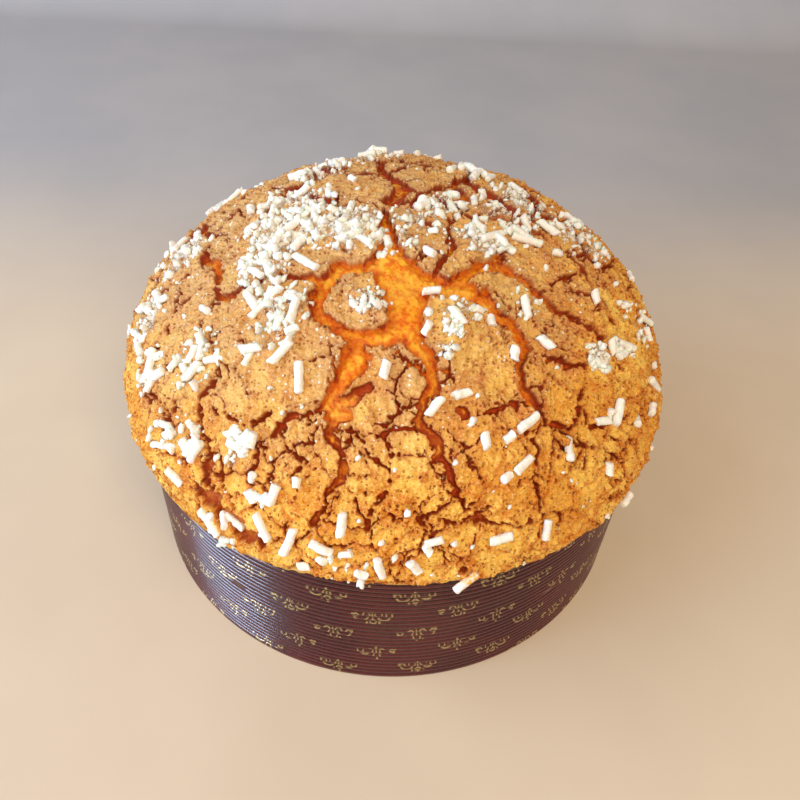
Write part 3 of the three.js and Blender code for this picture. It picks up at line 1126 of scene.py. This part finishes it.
def ornament(across, up):
    """Ink of one printed ornament: mirrored scrolls under a fan, over a small ring. In mm."""
    side = across.size()
    arm = circle(side, up, 4.6, 2.6, 3.2).size().most(up - 2.4)
    curl = circle(side, up, 6.6, 2.5, 1.2).size()
    tip = circle(side, up, 7.9, 3.4, 0.5)
    leaf = circle(side, up, 2.4, 2.8, 1.4).size().most(up * -1.0 + 2.9)
    ring = circle(side, up, 0.0, -1.6, 1.4).size()
    bead = circle(side, up, 2.5, -2.6, 0.45)
    drop = circle(side, up, 0.0, -4.0, 0.45)
    stem = side.most((up - 2.0).size() - 1.9)
    dot = circle(side, up, 0.0, 4.9, 0.5)
    ink = stroke(arm, 0.55).most(stroke(curl, 0.5)).most(stroke(leaf, 0.45))
    ink = ink.most(stroke(ring, 0.5)).most(stroke(stem, 0.5))
    for spot in (tip, bead, drop, dot):
        ink = ink.most(spot.ramp(0.15, -0.1))
    return ink


def printed_ornaments(paint):
    """Ink of the staggered rows, which climb a little as they go round."""
    across, along, up = paint.coordinates()
    girth = 2 * math.pi * MOULD_RADIUS
    double_row = 2 * ORNAMENT_ROW
    slant = PRINT_DRIFT * double_row / girth
    arc = across.math("ARCTAN2", along * -1.0) * MOULD_RADIUS
    sideways = (arc + up * slant - PRINT_START[0]) / (girth / ORNAMENT_COLUMNS)
    upward = (up - arc * slant - PRINT_START[1]) / double_row
    rows = []
    for shift in (0.5, 1.0):
        column = (sideways + (100 + shift)).math("FRACT") - 0.5
        row = (upward + (100 + shift)).math("FRACT") - 0.5
        rows.append(ornament(column * (girth / ORNAMENT_COLUMNS / ORNAMENT_SCALE),
                             row * (double_row / ORNAMENT_SCALE)))
    return rows[0].most(rows[1])


def mould_material():
    paint = Paint("printed_paper")
    _, _, up = paint.coordinates()
    fibre = paint.noise(0.8, 4, 0.7)
    cloudy = paint.noise(30)
    worn = paint.noise(1.6, 3, 0.7)
    crest = ((up - RIB_TOP) * (math.pi / RIB_STEP)).math("COSINE").size()
    printed = printed_ornaments(paint) * worn.ramp(0.25, 0.45, 0.55, 1.0)
    tone = paint.layers(
        (62, 12, 12),
        (cloudy.ramp(0.35, 0.65), (80, 20, 18)),
        (fibre.ramp(0.4, 0.75) * 0.35, (112, 42, 36)),
        (printed, (172, 146, 96)),
        # painted shade: the ribs' valleys are darkened
        (crest.ramp(0.75, 0.15) * 0.9, (26, 6, 8)),
    )
    paint.set(Base_Color=tone, Roughness=fibre.ramp(0.3, 0.7, 0.26, 0.4) - printed * 0.04)
    paint.set(Metallic=printed * 0.6, Specular_IOR_Level=0.3)
    paint.set(Coat_Weight=0.55, Coat_Roughness=0.2, Coat_IOR=1.6)
    paint.bump(fibre * 0.05 + printed * 0.02)
    return paint.material


def disc_material():
    paint = Paint("plain_paper")
    fibre = paint.noise(1.2, 4, 0.7)
    cloudy = paint.noise(25)
    tone = paint.layers(
        (96, 62, 46),
        (cloudy.ramp(0.3, 0.7), (112, 74, 54)),
        (fibre.ramp(0.4, 0.7) * 0.5, (134, 96, 72)),
    )
    paint.set(Base_Color=tone, Roughness=fibre.ramp(0.3, 0.7, 0.7, 0.9))
    paint.bump(fibre * 0.12)
    return paint.material


SUGAR_MATERIAL = sugar_material()


# ---- stage, lights and camera

def stage_material():
    paint = Paint("pale_paper")
    _, along, height = paint.coordinates()
    cloudy = paint.noise(120)
    floor = paint.layers((208, 189, 166), (cloudy.ramp(0.3, 0.7), (214, 196, 172)))
    # Painted shade: the far wall is painted darker and greyer than the floor, as if less light reached
    # it.
    wall = paint.layers((168, 166, 168), (cloudy.ramp(0.3, 0.7), (176, 172, 172)))
    far = along.ramp(60, 330).most(height.ramp(0, 120))
    paint.set(Base_Color=paint.layers(floor, (far, wall)), Roughness=0.8)
    return paint.material


def build_stage():
    """A pale floor that sweeps up into a pale wall well behind the object."""
    half, front, back, bend, top = 2000, -1500, 620, 60, 1600
    outline = [(front, 0), (back - bend, 0)]
    for step in range(1, 9):
        turn = step * math.pi / 16
        outline.append((back - bend + bend * math.sin(turn), bend - bend * math.cos(turn)))
    outline.append((back, top))
    points = np.array([(side, y, z) for y, z in outline for side in (-half, half)], dtype=float)
    rows = len(outline)
    quads = np.array([[2 * row, 2 * row + 1, 2 * row + 3, 2 * row + 2] for row in range(rows - 1)])
    sweep = make_mesh("pale_sweep", points, quads.ravel(), np.full(len(quads), 4))
    sweep.data.materials.append(stage_material())


def place_object(data, right, up, back, place):
    """Adds a light or camera that looks the other way from back. Its place is in metres."""
    thing = bpy.data.objects.new(data.name, data)
    matrix = Matrix(np.column_stack([right, up, back]).tolist()).to_4x4()
    matrix.translation = place
    thing.matrix_world = matrix
    bpy.context.collection.objects.link(thing)
    return thing


def add_light(name, bearing, elevation, distance, width, height, watts, tint):
    """A soft light aimed at the loaf's middle. Distance and size are metres."""
    data = bpy.data.lights.new(name, "AREA")
    data.shape = "RECTANGLE"
    data.size = width
    data.size_y = height
    data.energy = watts
    data.color = tint
    turn, rise = math.radians(bearing), math.radians(elevation)
    aim = np.array([0, 0, MOULD_HEIGHT * MM])
    away = np.array([math.cos(rise) * math.sin(turn), -math.cos(rise) * math.cos(turn), math.sin(rise)])
    level = np.array([math.cos(turn), math.sin(turn), 0])
    place_object(data, level, np.cross(away, level), away, aim + away * distance)


def build_lights():
    add_light("window", -80, 42, 1.3, 0.8, 0.8, 8, (0.74, 0.85, 1.0))
    add_light("low_window", -60, 9, 1.2, 0.7, 0.14, 11, (0.5, 0.7, 1.0))
    add_light("room", 14, 48, 1.6, 1.0, 1.0, 21, (1.0, 0.81, 0.57))
    world = bpy.data.worlds.new("soft_room")
    world.use_nodes = True
    background = world.node_tree.nodes["Background"]
    background.inputs["Color"].default_value = (0.88, 0.91, 1.0, 1.0)
    background.inputs["Strength"].default_value = 0.26
    bpy.context.scene.world = world
    bpy.context.scene.view_settings.view_transform = "Standard"


def build_camera():
    data = bpy.data.cameras.new("camera")
    data.sensor_width = SENSOR_WIDTH
    data.lens = CAMERA_LENS
    pitch, yaw, roll = (math.radians(angle) for angle in (CAMERA_PITCH, CAMERA_YAW, CAMERA_ROLL))
    ahead = np.array([math.sin(yaw) * math.cos(pitch), math.cos(yaw) * math.cos(pitch), -math.sin(pitch)])
    level = np.array([math.cos(yaw), -math.sin(yaw), 0])
    upward = np.cross(level, ahead)
    right = math.cos(roll) * level + math.sin(roll) * upward
    up = -math.sin(roll) * level + math.cos(roll) * upward
    place = np.array(CAMERA_PLACE) * MM
    bpy.context.scene.camera = place_object(data, right, up, -ahead, place)


# ---- everything

build_camera()
build_lights()
build_stage()
loaf = Loaf()
build_loaf(loaf)
build_mould()
paint_disc()
sugar = Sugar(loaf)
build_sticks(sugar)
random = np.random.default_rng(7)
scatter_patches(sugar, random)
place_pieces(sugar, random)
scatter_loose(sugar, random)
